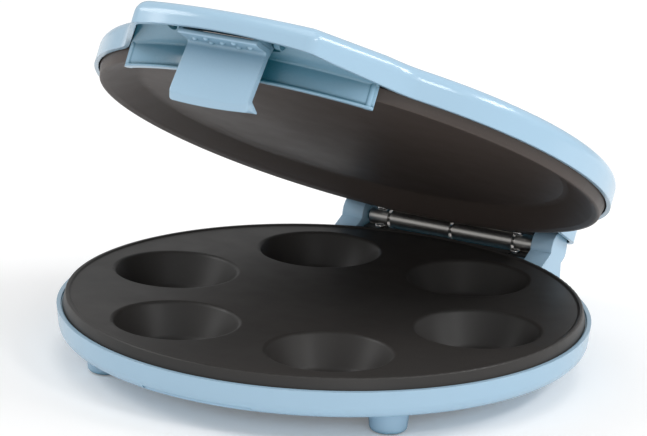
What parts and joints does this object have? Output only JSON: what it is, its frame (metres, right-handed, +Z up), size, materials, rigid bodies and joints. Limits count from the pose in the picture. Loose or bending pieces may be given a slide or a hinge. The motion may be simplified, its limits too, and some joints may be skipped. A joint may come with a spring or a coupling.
{
  "type": "cupcake maker",
  "caption": "Round clamshell cupcake maker: low base with shallow wells, hinged lid with a flat pan, a front handle with a swinging latch, and a rear barrel hinge.",
  "frame": {"origin": "on the worktop plane, under the middle of the box round the appliance as it stands open", "axes": "+X to the user's right seen from the front, +Y from the front handle towards the hinge, +Z up"},
  "size_m": [0.2686, 0.2978, 0.2036],
  "materials": {
    "pale_blue_plastic": "glossy moulded plastic",
    "lower_nonstick": "satin charcoal non-stick coating",
    "upper_nonstick": "satin brown-black non-stick coating",
    "element_sheath": "heat-tinted sheath",
    "shield_steel": "bare pressed sheet",
    "hinge_steel": "dark plated",
    "bright_steel": "bright zinc plate",
    "pad_rubber": "matt",
    "thermostat_aluminium": "bare",
    "fuse_sleeve": "woven glass sleeve",
    "terminal_ceramic": "unglazed",
    "dark_rubber": "matt",
    "red_lens": "translucent dome",
    "green_lens": "translucent dome",
    "lamp_body": "plain"
  },
  "bodies": {
    "base": {"base_shell": "pale_blue_plastic", "lower_plate": "lower_nonstick", "lower_heating_element": "element_sheath", "lower_heat_shield": "shield_steel", "thermostat": "thermostat_aluminium", "thermal_fuse": "fuse_sleeve", "terminal_block": "terminal_ceramic", "cord_gland": "dark_rubber", "feet": "pale_blue_plastic", "foot_pads": "pad_rubber", "foot_screws": "bright_steel", "base_screws": "bright_steel", "hinge_lower_leaf": "hinge_steel", "lower_leaf_screws": "bright_steel", "hinge_pin": "bright_steel"},
    "lid": {"lid_shell": "pale_blue_plastic", "lid_top_panel": "pale_blue_plastic", "upper_plate": "upper_nonstick", "upper_heating_element": "element_sheath", "upper_heat_shield": "shield_steel", "upper_plate_screws": "bright_steel", "handle_liner": "pale_blue_plastic", "handle_liner_screws": "bright_steel", "hinge_upper_leaf": "hinge_steel", "upper_leaf_screws": "bright_steel", "power_lens": "red_lens", "ready_lens": "green_lens", "pilot_lamps": "lamp_body", "latch_pin": "bright_steel"},
    "latch": {"latch": "pale_blue_plastic"}
  },
  "joints": [
    {"name": "lid_hinge", "type": "hinge", "parent": "base", "child": "lid", "pos_m": [0, 0.12842, 0.03365], "axis": [-1, 0, 0], "range_deg": [-30, 65]},
    {"name": "latch_pivot", "type": "hinge", "parent": "lid", "child": "latch", "pos_m": [0, -0.11684, 0.18985], "axis": [-1, 0, 0], "range_deg": [-22, 6]}
  ]
}
